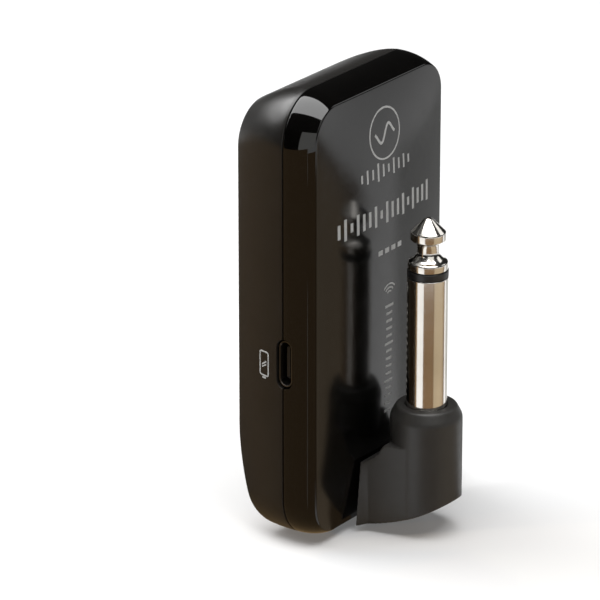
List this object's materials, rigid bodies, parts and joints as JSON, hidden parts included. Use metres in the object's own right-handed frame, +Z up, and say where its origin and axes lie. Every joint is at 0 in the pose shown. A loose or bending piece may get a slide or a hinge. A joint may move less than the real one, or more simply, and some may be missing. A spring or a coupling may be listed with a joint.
{
  "type": "wireless guitar transmitter",
  "caption": "Pocket wireless guitar transmitter: glossy front cover, matte back shell, side switch, select button, indicator lights and a swivelling quarter-inch plug.",
  "frame": {"origin": "on the surface it stands on, under the middle of its bounding box", "axes": "+Z up along the case, +X towards the switch and lights, -Y out of the glossy front"},
  "size_m": [0.038, 0.0304, 0.0725],
  "materials": {
    "front_gloss": "piano black, high gloss",
    "shell_matte": "fine matte moulded grain",
    "arm_matte": "satin moulded",
    "control_black": "satin moulded",
    "plug_nickel": "polished nickel plate",
    "black_nylon": "satin",
    "white_nylon": "satin",
    "contact_brass": "bright",
    "steel_parts": "satin",
    "usb_steel": "satin",
    "board_green": "solder-mask green",
    "chip_black": "moulded epoxy",
    "ceramic_white": "fired ceramic",
    "foam_dark": "closed-cell foam",
    "cell_wrap": "laminate pouch",
    "lens_clear": "frosted light pipe, unlit",
    "lens_green": "light pipe, lit green",
    "lead_red": "insulated lead",
    "lead_black": "insulated lead"
  },
  "bodies": {
    "case": {"front_cover": "front_gloss", "back_shell": "shell_matte", "swivel_bush": "white_nylon", "switch_body": "steel_parts", "tact_switch": "steel_parts", "usb_port": "usb_steel", "circuit_board": "board_green", "radio_shield": "steel_parts", "radio_chip": "chip_black", "radio_crystal": "steel_parts", "chip_antenna": "ceramic_white", "audio_converter_chip": "chip_black", "charger_chip": "chip_black", "power_inductor": "chip_black", "coupling_capacitor": "ceramic_white", "battery": "cell_wrap", "battery_pad": "foam_dark", "battery_connector": "white_nylon", "battery_lead_positive": "lead_red", "battery_lead_negative": "lead_black", "case_screw_left": "steel_parts", "case_screw_right": "steel_parts", "board_screw_left": "steel_parts", "board_screw_right": "steel_parts", "board_screw_bottom": "steel_parts", "led_lens_1": "lens_clear", "led_chip_1": "ceramic_white", "led_lens_2": "lens_green", "led_chip_2": "ceramic_white", "led_lens_3": "lens_green", "led_chip_3": "ceramic_white", "led_lens_4": "lens_green", "led_chip_4": "ceramic_white"},
    "plug_swivel": {"swivel_housing": "arm_matte", "plug_sleeve": "plug_nickel", "plug_insulator_ring": "black_nylon", "plug_tip": "plug_nickel", "plug_centre_rod": "contact_brass", "plug_rod_insulator": "white_nylon", "plug_ground_lug": "contact_brass", "plug_tip_lug": "contact_brass", "swivel_shaft": "steel_parts", "friction_washer": "steel_parts", "swivel_retainer": "steel_parts"},
    "power_switch": {"switch_knob": "control_black"},
    "select_button": {"button_cap": "control_black", "tact_plunger": "black_nylon"}
  },
  "joints": [
    {"name": "plug_swivel_hinge", "type": "hinge", "parent": "case", "child": "plug_swivel", "pos_m": [0, -0.001, 0.006], "axis": [0, 1, 0], "range_deg": [-110, 110]},
    {"name": "power_switch_slide", "type": "slide", "parent": "case", "child": "power_switch", "axis": [0, 0, 1], "range_m": [0, 0.0018]},
    {"name": "select_button_press", "type": "slide", "parent": "case", "child": "select_button", "axis": [-1, 0, 0], "range_m": [0, 0.0004], "stiffness_N_per_m": 1500, "springref_m": -0.0003}
  ]
}
